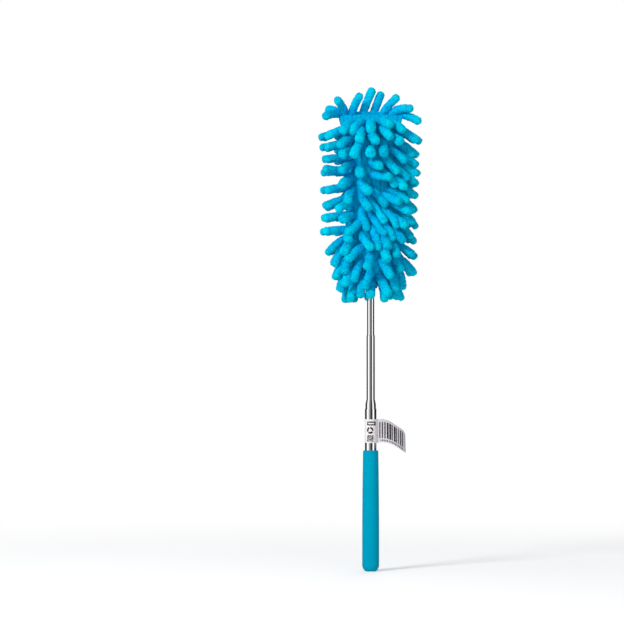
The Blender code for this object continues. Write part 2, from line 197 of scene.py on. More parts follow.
def smoothstep(value):
    value = np.clip(value, 0.0, 1.0)
    return value * value * (3 - 2 * value)


def new_object(name, points, faces, finish, attributes=None):
    """A smooth mesh object from points in millimetres, with float attributes on its points."""
    mesh = bpy.data.meshes.new(name)
    mesh.from_pydata((np.asarray(points) * MM).tolist(), [], faces)
    for key, values in (attributes or {}).items():
        values = np.asarray(values, np.float32)
        kind = "FLOAT" if values.ndim == 1 else "FLOAT_VECTOR"
        layer = mesh.attributes.new(key, kind, "POINT")
        layer.data.foreach_set("value" if values.ndim == 1 else "vector", values.ravel())
    mesh.shade_smooth()
    mesh.materials.append(finish)
    made = bpy.data.objects.new(name, mesh)
    bpy.context.scene.collection.objects.link(made)
    return made


def grid_faces(rows, columns, closed):
    """Quads of a grid whose rows have the given number of points, joined round each row if closed."""
    faces = []
    for row in range(rows - 1):
        for column in range(columns if closed else columns - 1):
            right = (column + 1) % columns
            low, high = row * columns, (row + 1) * columns
            faces.append((low + column, low + right, high + right, high + column))
    return faces


def turned(name, outline, finish):
    """A closed body turned about Z from (radius, height) points, up the outside and down the inside."""
    angles = np.linspace(0, tau, SMOOTH_SEGMENTS, endpoint=False)
    points = []
    for radius, height in outline:
        points += [(radius * cos(a), radius * sin(a), height) for a in angles]
    faces = grid_faces(len(outline), SMOOTH_SEGMENTS, closed=True)
    if outline[0][0] > 0.01:
        last = (len(outline) - 1) * SMOOTH_SEGMENTS
        for column in range(SMOOTH_SEGMENTS):
            right = (column + 1) % SMOOTH_SEGMENTS
            faces.append((last + column, last + right, right, column))
    made = new_object(name, points, faces, finish)
    made.data.set_sharp_from_angle(angle=radians(50))
    return made


def arc(centre, radius, start, end, steps):
    turns = [radians(start + (end - start) * i / steps) for i in range(steps + 1)]
    return [(centre[0] + radius * cos(a), centre[1] + radius * sin(a)) for a in turns]


def fill_ramp(ramp, stops):
    """Sets a colour ramp's stops, given in order as (position, colour)."""
    first, last = ramp.elements[0], ramp.elements[1]
    first.position, last.position = stops[0][0], stops[-1][0]
    first.color, last.color = (*stops[0][1], 1.0), (*stops[-1][1], 1.0)
    for position, colour in stops[1:-1]:
        ramp.elements.new(position).color = (*colour, 1.0)


# Materials


class Nodes:
    """Short names for building one material's node tree."""

    def __init__(self, name):
        self.material = bpy.data.materials.new(name)
        self.material.use_nodes = True
        self.tree = self.material.node_tree
        self.shader = self.tree.nodes["Principled BSDF"]

    def add(self, kind, **settings):
        node = self.tree.nodes.new(kind)
        for key, value in settings.items():
            setattr(node, key, value)
        return node

    def link(self, source, target):
        self.tree.links.new(source, target)

    def set(self, **values):
        for key, value in values.items():
            self.shader.inputs[key.replace("_", " ")].default_value = value

    def attribute(self, name):
        return self.add("ShaderNodeAttribute", attribute_name=name)

    def math(self, operation, first, second=None, third=None):
        node = self.add("ShaderNodeMath", operation=operation)
        for socket, value in zip(node.inputs, (first, second, third)):
            if value is None:
                continue
            if isinstance(value, (int, float)):
                socket.default_value = value
            else:
                self.link(value, socket)
        return node.outputs[0]

    def noise(self, vector, scale, detail=2.0, roughness=0.5):
        node = self.add("ShaderNodeTexNoise")
        node.inputs["Scale"].default_value = scale
        node.inputs["Detail"].default_value = detail
        node.inputs["Roughness"].default_value = roughness
        self.link(vector, node.inputs["Vector"])
        return node.outputs["Fac"]

    def voronoi(self, vector, scale):
        node = self.add("ShaderNodeTexVoronoi")
        node.inputs["Scale"].default_value = scale
        self.link(vector, node.inputs["Vector"])
        return node.outputs["Distance"]

    def ramp(self, value, stops):
        node = self.add("ShaderNodeValToRGB")
        fill_ramp(node.color_ramp, stops)
        self.link(value, node.inputs["Fac"])
        return node.outputs["Color"]

    def mix(self, factor, first, second, blend="MIX"):
        node = self.add("ShaderNodeMix", data_type="RGBA", blend_type=blend)
        sockets = (node.inputs[0], node.inputs[6], node.inputs[7])
        for socket, value in zip(sockets, (factor, first, second)):
            if isinstance(value, (int, float)):
                socket.default_value = value
            elif isinstance(value, tuple):
                socket.default_value = (*value, 1.0)
            else:
                self.link(value, socket)
        return node.outputs[2]

    def colour(self, source):
        self.link(source, self.shader.inputs["Base Color"])

    def bump(self, height, strength, distance):
        node = self.add("ShaderNodeBump")
        node.inputs["Strength"].default_value = strength
        node.inputs["Distance"].default_value = distance
        self.link(height, node.inputs["Height"])
        self.link(node.outputs["Normal"], self.shader.inputs["Normal"])

    def position(self):
        return self.add("ShaderNodeTexCoord").outputs["Object"]


def grey(value):
    return (value, value, value)


def chenille_finish():
    """Microfibre pile, with painted shade that makes the hollows between knobs darker and bluer, a painted
    highlight on the knob tops, and painted shade towards each root, so each noodle is brighter towards its
    tip.
    """
    nodes = Nodes("chenille_pile")
    pile = nodes.attribute("pile_place").outputs["Vector"]
    along = nodes.attribute("along").outputs["Fac"]
    knob = nodes.attribute("knob").outputs["Fac"]
    tint = nodes.attribute("tint").outputs["Fac"]
    fibres = nodes.noise(pile, 2.6, detail=4, roughness=0.7)
    fine = nodes.voronoi(pile, 1.15)
    # Painted shade along each noodle: darker and bluer at the root, where it leaves the cloth, and paler
    # towards the tip.
    root, middle = (0.0, 0.36, 0.665), (0.0, 0.385, 0.625)
    tip_start, tip = (0.0, 0.43, 0.58), (0.0, 0.455, 0.585)
    base = nodes.ramp(along, [(0.0, root), (0.45, middle), (0.85, tip_start), (1.0, tip)])
    # Painted shade in the hollows between knobs and a painted highlight on the knob tops, set by each
    # point's knob height.
    hollow, side, top = (0.5, 0.60, 0.82), (0.76, 0.83, 0.96), (1.1, 1.07, 1.04)
    knob_light_and_shade = nodes.ramp(knob, [(0.0, hollow), (0.35, side), (0.75, top)])
    colour = nodes.mix(1.0, base, knob_light_and_shade, "MULTIPLY")
    speck = nodes.ramp(fibres, [(0.3, grey(0.84)), (0.7, grey(1.14))])
    colour = nodes.mix(0.9, colour, speck, "MULTIPLY")
    shade = nodes.ramp(tint, [(0.0, (0.82, 0.86, 0.92)), (1.0, (1.12, 1.10, 1.06))])
    colour = nodes.mix(1.0, colour, shade, "MULTIPLY")
    nodes.colour(colour)
    height = nodes.math("ADD", fibres, nodes.math("MULTIPLY", fine, -0.8))
    nodes.bump(height, strength=0.7, distance=0.0006)
    nodes.set(Roughness=0.95, Specular_IOR_Level=0.02)
    nodes.set(Sheen_Weight=0.2, Sheen_Roughness=0.6, Sheen_Tint=(0.0, 0.75, 1.0, 1.0))
    return nodes.material


def cloth_finish():
    """Knitted microfibre cloth under the noodles, with painted shade along the stitched grooves where they
    are sewn on.
    """
    nodes = Nodes("chenille_cloth")
    place = nodes.attribute("cloth_place").outputs["Vector"]
    seam = nodes.attribute("seam").outputs["Fac"]
    knit = nodes.add("ShaderNodeTexWave", wave_type="BANDS", bands_direction="X")
    knit.inputs["Scale"].default_value = 0.5
    knit.inputs["Distortion"].default_value = 1.6
    knit.inputs["Detail Scale"].default_value = 2.0
    nodes.link(place, knit.inputs["Vector"])
    loops = nodes.voronoi(place, 0.9)
    blotch = nodes.noise(place, 0.12, detail=3)
    base = nodes.ramp(blotch, [(0.3, (0.0, 0.34, 0.60)), (0.7, (0.0, 0.39, 0.65))])
    # Painted shade in the stitched grooves and along the hem's stitch line, from the seam attribute.
    stitch_shade = nodes.ramp(seam, [(0.0, grey(1.0)), (1.0, (0.35, 0.42, 0.55))])
    colour = nodes.mix(1.0, base, stitch_shade, "MULTIPLY")
    weave = nodes.ramp(loops, [(0.0, grey(1.12)), (0.7, grey(0.78))])
    colour = nodes.mix(0.7, colour, weave, "MULTIPLY")
    nodes.colour(colour)
    height = nodes.math("SUBTRACT", nodes.math("MULTIPLY", knit.outputs["Fac"], 0.4), loops)
    nodes.bump(height, strength=0.5, distance=0.0005)
    nodes.set(Roughness=0.95, Specular_IOR_Level=0.02)
    nodes.set(Sheen_Weight=0.15, Sheen_Roughness=0.5, Sheen_Tint=(0.0, 0.75, 1.0, 1.0))
    return nodes.material


def chrome_finish():
    """Polished stainless tube with very fine drawn lines and faint handling haze."""
    nodes = Nodes("polished_steel")
    place = nodes.position()
    stretch = nodes.add("ShaderNodeMapping")
    stretch.inputs["Scale"].default_value = (2400.0, 2400.0, 40.0)
    nodes.link(place, stretch.inputs["Vector"])
    lines = nodes.noise(stretch.outputs["Vector"], 1.0, detail=2)
    haze = nodes.noise(place, 90.0, detail=4, roughness=0.6)
    rough = nodes.add("ShaderNodeMapRange")
    rough.inputs["From Min"].default_value = 0.35
    rough.inputs["From Max"].default_value = 0.75
    rough.inputs["To Min"].default_value = 0.045
    rough.inputs["To Max"].default_value = 0.13
    nodes.link(haze, rough.inputs["Value"])
    nodes.link(rough.outputs["Result"], nodes.shader.inputs["Roughness"])
    nodes.bump(lines, strength=0.04, distance=0.00005)
    nodes.set(Metallic=1.0, Base_Color=(0.90, 0.90, 0.91, 1.0))
    return nodes.material


def grip_finish():
    """Matte foam rubber with a fine open grain and a slight mottle."""
    nodes = Nodes("grip_foam")
    place = nodes.position()
    mottle = nodes.noise(place, 45.0, detail=3)
    grain = nodes.noise(place, 1500.0, detail=3, roughness=0.6)
    pores = nodes.voronoi(place, 1300.0)
    colour = nodes.ramp(mottle, [(0.25, (0.0, 0.24, 0.365)), (0.75, (0.0, 0.26, 0.39))])
    speck = nodes.ramp(grain, [(0.35, grey(0.93)), (0.65, grey(1.05))])
    colour = nodes.mix(0.8, colour, speck, "MULTIPLY")
    nodes.colour(colour)
    height = nodes.math("ADD", grain, nodes.math("MULTIPLY", pores, 0.6))
    nodes.bump(height, strength=0.25, distance=0.0003)
    nodes.set(Roughness=0.8, Specular_IOR_Level=0.03, Specular_Tint=(0.0, 0.6, 1.0, 1.0))
    return nodes.material


def plastic_finish(name, colour, roughness):
    """Moulded plastic with a light satin grain."""
    nodes = Nodes(name)
    place = nodes.position()
    grain = nodes.noise(place, 900.0, detail=3)
    cloud = nodes.noise(place, 60.0)
    dark, pale = (tuple(c * share for c in colour) for share in (0.9, 1.08))
    tone = nodes.ramp(cloud, [(0.3, dark), (0.7, pale)])
    nodes.colour(tone)
    nodes.bump(grain, strength=0.2, distance=0.0002)
    nodes.set(Roughness=roughness)
    return nodes.material


def foam_finish():
    """Open-cell foam."""
    nodes = Nodes("foam_cells")
    place = nodes.position()
    cells = nodes.voronoi(place, 700.0)
    tone = nodes.ramp(cells, [(0.1, (0.62, 0.61, 0.52)), (0.6, (0.88, 0.87, 0.78))])
    nodes.colour(tone)
    nodes.bump(cells, strength=0.7, distance=0.0008)
    nodes.set(Roughness=0.95)
    return nodes.material


def wire_finish():
    """Drawn steel wire, duller than the pole."""
    nodes = Nodes("drawn_wire")
    place = nodes.position()
    streaks = nodes.noise(place, 600.0, detail=3)
    tone = nodes.ramp(streaks, [(0.3, grey(0.42)), (0.7, grey(0.62))])
    nodes.colour(tone)
    nodes.bump(streaks, strength=0.1, distance=0.0001)
    nodes.set(Metallic=1.0, Roughness=0.34)
    return nodes.material


def label_finish():
    """Label paper with generic print: bars and dashes on the flag, plain shapes on the band."""
    nodes = Nodes("label_paper")
    parts = nodes.add("ShaderNodeSeparateXYZ")
    nodes.link(nodes.attribute("print_place").outputs["Vector"], parts.inputs[0])
    across, up, side = parts.outputs
    on_band = nodes.math("COMPARE", side, 0.0, 0.1)
    on_flag = nodes.math("COMPARE", side, 1.0, 0.1)
    band_ink = nodes.math("MAXIMUM", plain_box(nodes, across, up), plain_ring(nodes, across, up))
    band_ink = nodes.math("MAXIMUM", band_ink, squares(nodes, across, up))
    band_ink = nodes.math("MULTIPLY", on_band, band_ink)
    flag_ink = nodes.math("MULTIPLY", on_flag, bars(nodes, across, up))
    ink = nodes.math("ADD", band_ink, flag_ink)
    place = nodes.position()
    fibre = nodes.noise(place, 1800.0, detail=4, roughness=0.7)
    cloud = nodes.noise(place, 120.0)
    band_paper = nodes.ramp(cloud, [(0.3, (0.60, 0.58, 0.575)), (0.7, (0.65, 0.63, 0.62))])
    # Painted shade: the flag is the same paper as the band, painted darker.
    shaded_flag_paper = nodes.ramp(cloud, [(0.3, (0.50, 0.47, 0.50)), (0.7, (0.56, 0.525, 0.56))])
    paper = nodes.mix(on_band, shaded_flag_paper, band_paper)
    speck = nodes.ramp(fibre, [(0.3, grey(0.97)), (0.7, grey(1.02))])
    paper = nodes.mix(1.0, paper, speck, "MULTIPLY")
    nodes.colour(nodes.mix(ink, paper, (0.016, 0.014, 0.016)))
    nodes.bump(fibre, strength=0.06, distance=0.0001)
    nodes.set(Roughness=0.6, Specular_IOR_Level=0.3)
    return nodes.material


def patch(nodes, across, up, centre, half):
    """1 inside a rectangle of the print, 0 outside."""
    wide = nodes.math("COMPARE", across, centre[0], half[0])
    return nodes.math("MULTIPLY", wide, nodes.math("COMPARE", up, centre[1], half[1]))


def chance(nodes, value, seed):
    """A random number from 0 to 1 for each whole number."""
    node = nodes.add("ShaderNodeTexWhiteNoise", noise_dimensions="1D")
    nodes.link(nodes.math("ADD", nodes.math("FLOOR", value), seed), node.inputs["W"])
    return node.outputs["Value"]


def plain_box(nodes, across, up):
    """Thick outline round an empty middle."""
    outline = patch(nodes, across, up, centre=(1.1, 23.2), half=(5.7, 2.4))
    hollow = patch(nodes, across, up, centre=(0.5, 23.2), half=(3.8, 0.85))
    return nodes.math("SUBTRACT", outline, hollow)


def plain_ring(nodes, across, up):
    """Ring in three equal parts."""
    x = nodes.math("ADD", across, 0.7)
    y = nodes.math("SUBTRACT", up, 15.0)
    squares_added = nodes.math("MULTIPLY_ADD", x, x, nodes.math("MULTIPLY", y, y))
    reach = nodes.math("SQRT", squares_added)
    turn = nodes.math("FRACT", nodes.math("MULTIPLY", nodes.math("ARCTAN2", x, y), 3 / tau))
    part = nodes.math("LESS_THAN", turn, 0.84)
    return nodes.math("MULTIPLY", nodes.math("COMPARE", reach, 3.0, 1.1), part)


def squares(nodes, across, up):
    """Block of small random squares."""
    size = 0.48
    cell = nodes.math("FLOOR", nodes.math("DIVIDE", across, size))
    row = nodes.math("FLOOR", nodes.math("DIVIDE", up, size))
    lot = chance(nodes, nodes.math("MULTIPLY_ADD", row, 61.0, cell), seed=5.5)
    inked = nodes.math("LESS_THAN", lot, 0.62)
    block = patch(nodes, across, up, centre=(-0.7, 5.3), half=(3.9, 4.1))
    return nodes.math("MULTIPLY", block, inked)


def bars(nodes, across, up):
    """Upright bars of random widths, and a row of dashes below them."""
    pitch = 3.05
    place = nodes.math("DIVIDE", across, pitch)
    width = nodes.math("MULTIPLY_ADD", chance(nodes, place, seed=11.5), 0.36, 0.42)
    bar = nodes.math("LESS_THAN", nodes.math("FRACT", place), width)
    bar_block = patch(nodes, across, up, centre=(19.0, 15.1), half=(16.4, 9.8))
    bar = nodes.math("MULTIPLY", bar, bar_block)
    beat = nodes.math("FRACT", nodes.math("DIVIDE", across, 2.1))
    dash = nodes.math("LESS_THAN", beat, 0.55)
    dash_row = patch(nodes, across, up, centre=(20.5, 2.7), half=(15.8, 1.15))
    dash = nodes.math("MULTIPLY", dash, dash_row)
    return nodes.math("ADD", bar, dash)


def floor_finish():
    """Pale matte floor that brightens with distance, so that it meets the white without a line."""
    nodes = Nodes("studio_floor")
    place = nodes.position()
    mottle = nodes.noise(place, 3.0)
    tone = nodes.ramp(mottle, [(0.3, grey(0.90)), (0.7, grey(0.92))])
    nodes.colour(tone)
    nodes.set(Roughness=0.9, Specular_IOR_Level=0.0)
    length = nodes.add("ShaderNodeVectorMath", operation="LENGTH")
    nodes.link(place, length.inputs[0])
    far = nodes.add("ShaderNodeMapRange", interpolation_type="SMOOTHSTEP")
    far.inputs["From Min"].default_value = 0.1
    far.inputs["From Max"].default_value = 1.1
    far.inputs["To Min"].default_value = 0.2
    nodes.link(length.outputs["Value"], far.inputs["Value"])
    glow = nodes.add("ShaderNodeEmission")
    output = nodes.tree.nodes["Material Output"]
    mixed = nodes.add("ShaderNodeMixShader")
    nodes.link(far.outputs["Result"], mixed.inputs["Fac"])
    nodes.link(nodes.shader.outputs[0], mixed.inputs[1])
    nodes.link(glow.outputs[0], mixed.inputs[2])
    nodes.link(mixed.outputs[0], output.inputs["Surface"])
    return nodes.material


# Pole and grip


def tube_outline(node, groove, next_node):
    """Outside and inside of one tube, with its rolled groove and its tip rolled in to the next tube."""
    low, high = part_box(node)
    radius = high.x / MM
    bottom, top = low.z / MM, high.z / MM
    outside = [(radius, bottom + 0.15)]
    if groove:
        depth = radius - GROOVE_DEPTH
        outside += [(radius, bottom + GROOVE_BOTTOM - GROOVE_EASE), (depth, bottom + GROOVE_BOTTOM)]
        outside += [(depth, bottom + GROOVE_TOP), (radius, bottom + GROOVE_TOP + GROOVE_EASE)]
    if next_node:
        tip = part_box(next_node)[1].x / MM + TIP_CLEARANCE + WALL
        for turn in np.linspace(0, pi / 2, 7):
            height = top - TIP_LENGTH * (1 - sin(turn))
            outside.append((tip + (radius - tip) * cos(turn) ** 0.8, height))
    else:
        outside += [(radius, top - 0.1)]
    inside = [(r - WALL, z) for r, z in reversed(outside)]
    return [(radius - 0.12, bottom)] + outside + inside


def build_pole(finish):
    bodies = ("handle", "section_2", "section_3", "section_4", "head")
    for index, body in enumerate(bodies):
        node = f"pole_tube_{index + 1}"
        next_node = f"pole_tube_{index + 2}" if index < len(bodies) - 1 else None
        tube = turned(f"tube_{index + 1}", tube_outline(node, index > 0, next_node), finish)
        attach(tube, body)
        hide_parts(node)


def build_grip(finish):
    """Closed-end sleeve: straight near its end, tapering a little towards its rounded rim."""
    low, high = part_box("grip_sleeve")
    radius, length = high.x / MM, high.z / MM
    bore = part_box("pole_tube_1")[1].x / MM + 0.2

    def side(height):
        share = max(0.0, height - GRIP_TAPER_START) / (length - GRIP_TAPER_START)
        return radius - (radius - GRIP_NECK_RADIUS) * share**1.9

    fillet = arc((radius - GRIP_FILLET, GRIP_FILLET), GRIP_FILLET, -90, 0, 14)[1:]
    outline = [(r, z * GRIP_FILLET_HEIGHT / GRIP_FILLET) for r, z in fillet]
    outline += [(side(z), z) for z in np.linspace(10, length - GRIP_RIM - 1, 40)]
    outline += arc((GRIP_NECK_RADIUS - GRIP_RIM, length - GRIP_RIM), GRIP_RIM, 0, 90, 8)
    outline += [(bore + 0.15, length), (bore, length - 0.3), (bore, GRIP_FLOOR), (0.02, GRIP_FLOOR)]
    outline = [(0.02, 0.0)] + outline
    grip = turned("grip", outline, finish)
    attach(grip, "handle")
    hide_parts("grip_sleeve")


def label_band(heights, finish):
    """Paper wrapped round the outer tube, up to where its two ends leave it as the flag."""
    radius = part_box("pole_tube_1")[1].x / MM + LABEL_GAP
    root = 2 * PAPER / radius
    turns = np.linspace(root, tau - root, BAND_COLUMNS)
    outside, inside, marks = [], [], []
    for turn in turns:
        from_front = (turn + pi / 2 + pi) % tau - pi
        for height in heights:
            z = LABEL_BOTTOM + height
            outside.append(((radius + PAPER) * cos(turn), (radius + PAPER) * sin(turn), z))
            inside.append((radius * cos(turn), radius * sin(turn), z))
            marks.append((from_front * radius, height, 0.0))
    return sheet("label_band", outside, inside, marks, BAND_COLUMNS, LABEL_ROWS, finish)


def label_flag(heights, finish):
    """The label's two ends, stuck back to back along the flag's stations."""
    stations = np.array(FLAG_STATIONS)
    smooth = smooth_through(stations, np.linspace(0, 1, FLAG_COLUMNS) * (len(stations) - 1))
    travel = np.concatenate([[0], np.cumsum(np.linalg.norm(np.diff(smooth[:, :3], axis=0), axis=1))])
    front, back, marks = [], [], []
    for (x, y, z, tilt), run in zip(smooth, travel):
        for height in heights:
            offset = (height - LABEL_HEIGHT * 0.35) * tilt
            rise = z + height * cos(np.arcsin(tilt))
            front.append((x, y + offset - PAPER, rise))
            back.append((x, y + offset + PAPER, rise))
            marks.append((run, height, 1.0))
    return sheet("label_flag", front, back, marks, FLAG_COLUMNS, LABEL_ROWS, finish)


def build_label(finish):
    heights = np.linspace(0, LABEL_HEIGHT, LABEL_ROWS)
    for piece in (label_band(heights, finish), label_flag(heights, finish)):
        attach(piece, "handle")
        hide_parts("barcode_label")


def smooth_through(values, places):
    """Values on the Catmull-Rom curve through the rows of an array, at places from 0 to its last row."""
    padded = np.concatenate([2 * values[:1] - values[1:2], values, 2 * values[-1:] - values[-2:-1]])
    index = np.clip(places.astype(int), 0, len(values) - 2)
    t = (places - index).reshape(-1, *[1] * (values.ndim - 1))
    a, b, c, d = (padded[index + k] for k in range(4))
    square = (2 * a - 5 * b + 4 * c - d) * t**2
    cube = (3 * b - a - 3 * c + d) * t**3
    return 0.5 * (2 * b + (c - a) * t + square + cube)


def sheet(name, front, back, marks, columns, rows, finish):
    """Closed thin sheet from matching grids of front and back points; the back carries no print."""
    size = columns * rows
    faces = grid_faces(columns, rows, closed=False)
    faces += [tuple(size + corner for corner in reversed(face)) for face in faces]
    rim = list(range(rows)) + [c * rows + rows - 1 for c in range(1, columns)]
    rim += list(range(size - 2, size - rows - 1, -1)) + [c * rows for c in range(columns - 2, 0, -1)]
    for here, following in zip(rim, rim[1:] + rim[:1]):
        faces.append((here, following, size + following, size + here))
    blank = [(x, y, 2.0) for x, y, _ in marks]
    made = new_object(name, front + back, faces, finish, {"print_place": np.array(marks + blank)})
    made.data.set_sharp_from_angle(angle=radians(50))
    return made


# Chenille head


def flatness(height):
    return smoothstep((height - FLARE_BOTTOM) / (SEAM_HEIGHT - FLARE_BOTTOM))


def half_width(height):
    return CORE_RADIUS + (SEAM_HALF_WIDTH - CORE_RADIUS) * flatness(height)


def half_depth(height):
    share = np.clip((height - FLARE_BOTTOM) / (SEAM_HEIGHT - FLARE_BOTTOM), 0, 1)
    return SEAM_HALF_THICKNESS + (CORE_RADIUS - SEAM_HALF_THICKNESS) * np.cos(share * pi / 2)


DOME_ARC = hypot(CORE_RADIUS - NECK_RADIUS, DOME_TOP - DOME_BOTTOM)
CLOTH_ARC = DOME_ARC + SEAM_HEIGHT - DOME_TOP


def cloth_points(turn, travel):
    """Points on the outer cloth, from arrays of angles round it and of distances up it from the dome."""
    turn, travel = np.broadcast_arrays(np.asarray(turn, float) % tau, np.asarray(travel, float))
    lift = np.clip(travel / DOME_ARC, 0, 1) * pi / 2
    dome_radius = NECK_RADIUS + (CORE_RADIUS - NECK_RADIUS) * np.sin(lift)
    dome_height = DOME_TOP - (DOME_TOP - DOME_BOTTOM) * np.cos(lift) + np.minimum(travel, 0)
    height = DOME_TOP + travel - DOME_ARC
    flat = flatness(height)
    ramp = (1 - 2 * np.minimum(turn, tau - turn) / pi) / (1 - 2 / COLUMNS)
    edge = 2 * np.sin(turn) / sin(tau / COLUMNS)
    x = (1 - flat) * np.cos(turn) + flat * np.clip(ramp, -1, 1)
    y = (1 - flat) * np.sin(turn) + flat * np.clip(edge, -1, 1)
    on_dome = travel < DOME_ARC
    return np.stack(
        [
            np.where(on_dome, dome_radius * np.cos(turn), half_width(height) * x),
            np.where(on_dome, dome_radius * np.sin(turn), half_depth(height) * y),
            np.where(on_dome, dome_height, height),
        ],
        axis=-1,
    )


def cloth_normals(turn, travel):
    step = 0.02
    around = cloth_points(turn + step, travel) - cloth_points(turn - step, travel)
    up = cloth_points(turn, travel + step * 20) - cloth_points(turn, travel - step * 20)
    normal = np.cross(around, up)
    return normal / np.linalg.norm(normal, axis=-1, keepdims=True)


def unit(vectors):
    return vectors / np.maximum(np.linalg.norm(vectors, axis=-1, keepdims=True), 1e-9)


def front_heading(reach):
    """Unit heading of a noodle that reaches so far sideways and up, and to the front for the rest."""
    if reach is None:
        return None
    x, z = np.array(reach, float) / NOODLE_LENGTH
    return unit(np.array([x, -np.sqrt(max(0.02, 1 - x * x - z * z)), z]))


def heading_out(turn, elevation):
    """Unit heading away from the axis at an elevation in degrees."""
    rise = radians(elevation)
    return np.array([cos(turn) * cos(rise), sin(turn) * cos(rise), sin(rise)])


def travel_at(height):
    """Distance up the cloth from the dome's bottom to a height."""
    if height >= DOME_TOP:
        return DOME_ARC + height - DOME_TOP
    return np.arccos((DOME_TOP - height) / (DOME_TOP - DOME_BOTTOM)) * 2 / pi * DOME_ARC


def lay_out_noodles(random):
    """Roots, outward directions, headings and rows of all noodles, the top seam's own row last."""
    step = CLOTH_ARC / (2 * ROWS + 1)
    noodles = []
    for column in range(COLUMNS):
        turn = tau * column / COLUMNS
        from_front = (column - FRONT_COLUMN + COLUMNS // 2) % COLUMNS - COLUMNS // 2
        for row in range(ROWS):
            travel = min((2 * (ROWS - row) - 1 + column % 2) * step, CLOTH_ARC - BARE_HEM)
            if from_front in FRONT_REACH:
                heading, spread = front_heading(FRONT_REACH[from_front][row]), FRONT_SPREAD
            elif abs(from_front) <= FLANK_COLUMNS:
                height, elevation = (LEFT_TIERS if from_front < 0 else RIGHT_TIERS)[row]
                travel = travel_at(height) + random.normal() * TIER_SPREAD
                heading, spread = heading_out(turn, elevation), FLANK_SPREAD
            else:
                heading, spread = heading_out(turn, BACK_ELEVATIONS[row]), BACK_SPREAD
            if heading is None:
                continue
            heading = unit(heading + radians(spread) * random.normal(size=3))
            noodles.append((cloth_points(turn, travel), cloth_normals(turn, travel), heading, row))
    for x, angle, lean in SEAM_NOODLES:
        heading = heading_out(radians(angle), 0)[[0, 2, 1]] * cos(radians(lean))
        heading[1] = -sin(radians(lean))
        root = np.array([x, -0.6 * np.sign(lean), SEAM_HEIGHT - SEAM_ROOT_DEPTH])
        noodles.append((root, unit(heading + [0, 0, 0.5]), heading, ROWS))
    return tuple(np.array(part) for part in zip(*noodles))


def push_off_cloth(points, clearance):
    """Moves points that are inside the sleeve, or too close to it or to the pole below it, back out."""
    height = points[..., 2]
    lift = np.clip((height - DOME_BOTTOM) / (DOME_TOP - DOME_BOTTOM), 0, 1)
    dome = NECK_RADIUS + (CORE_RADIUS - NECK_RADIUS) * np.sqrt(1 - (1 - lift) ** 2)
    wide = np.where(height < DOME_TOP, dome, half_width(height)) + clearance
    deep = np.where(height < DOME_TOP, dome, half_depth(height)) + clearance
    inside = np.hypot(points[..., 0] / wide, points[..., 1] / deep)
    low = (height < SEAM_HEIGHT) & (inside < 1)
    scale = np.where(low, 1 / np.maximum(inside, 0.05), 1.0)
    points[..., 0] *= scale
    points[..., 1] *= scale


def bent_chains(roots, outs, headings, lengths):
    """Evenly spaced points along curves that leave the cloth outwards and end in the headings."""
    share = np.linspace(0, 1, NOODLE_NODES)[None, :, None]
    middle = roots + unit(outs + headings) * lengths[:, None] * 0.45
    end = roots + headings * lengths[:, None]
    curve = roots[:, None] * (1 - share) ** 2
    curve = curve + 2 * middle[:, None] * share * (1 - share) + end[:, None] * share**2
    for node in range(1, NOODLE_NODES):
        step = unit(curve[:, node] - curve[:, node - 1]) * lengths[:, None] / (NOODLE_NODES - 1)
        curve[:, node:] += (curve[:, node - 1] + step - curve[:, node])[:, None]
    return curve


def crowding(points, owner, reach):
    """How far each point is pushed by points of other noodles that are within both their reaches."""
    push = np.zeros_like(points)
    for start in range(0, len(points), CHUNK):
        part = slice(start, start + CHUNK)
        offset = points[part, None] - points[None]
        distance = np.linalg.norm(offset, axis=-1)
        gap = reach[part, None] + reach[None]
        close = (distance < gap) & (owner[part, None] != owner[None])
        amount = np.where(close, (gap - distance) / np.maximum(distance, 0.5), 0.0)
        push[part] = (offset * amount[..., None]).sum(axis=1)
    size = np.linalg.norm(push, axis=-1, keepdims=True)
    return push * np.minimum(1.0, PUSH_LIMIT / np.maximum(size, 1e-6))


def settle_noodles(roots, outs, headings, lengths, thickness):
    """Relaxes the bent noodles until they lie against each other and the cloth."""
    chain = bent_chains(roots, outs, headings, lengths)
    rest_steps = np.diff(chain, axis=1)
    segment = lengths[:, None] / (NOODLE_NODES - 1)
    owner = np.repeat(np.arange(len(roots)), NOODLE_NODES - 1)
    reach = thickness[owner] * PACKING
    stiffness = np.linspace(ROOT_STIFFNESS, TIP_STIFFNESS, NOODLE_NODES - 1)[None, :, None]
    for _ in range(SETTLE_ROUNDS):
        free = chain[:, 1:].reshape(-1, 3)
        push = crowding(free, owner, reach)
        chain[:, 1:] += PUSH_SHARE * push.reshape(len(roots), NOODLE_NODES - 1, 3)
        chain[:, 1:] += (chain[:, :-1] + rest_steps - chain[:, 1:]) * stiffness
        push_off_cloth(chain[:, 2:], NOODLE_RADIUS - SINK)
        for node in range(1, NOODLE_NODES):
            heading = unit(chain[:, node] - chain[:, node - 1])
            chain[:, node] = chain[:, node - 1] + heading * segment
    return chain


def noodle_profile():
    """Place along the noodle and share of its full radius at each ring, ending in a rounded tip."""
    places = np.linspace(-BURIED, TIP_START, NOODLE_RINGS - TIP_RINGS)
    radii = 0.90 + 0.07 * smoothstep(places / 0.25) + 0.04 * smoothstep((places - 0.5) / 0.35)
    turns = np.linspace(0, pi / 2, TIP_RINGS + 1)[1:]
    tip_places = TIP_START + (1 - TIP_START) * np.sin(turns)
    tip_radii = 1.01 * np.cos(turns) ** 0.72
    return np.concatenate([places, tip_places]), np.concatenate([radii, np.maximum(tip_radii, 0.02)])


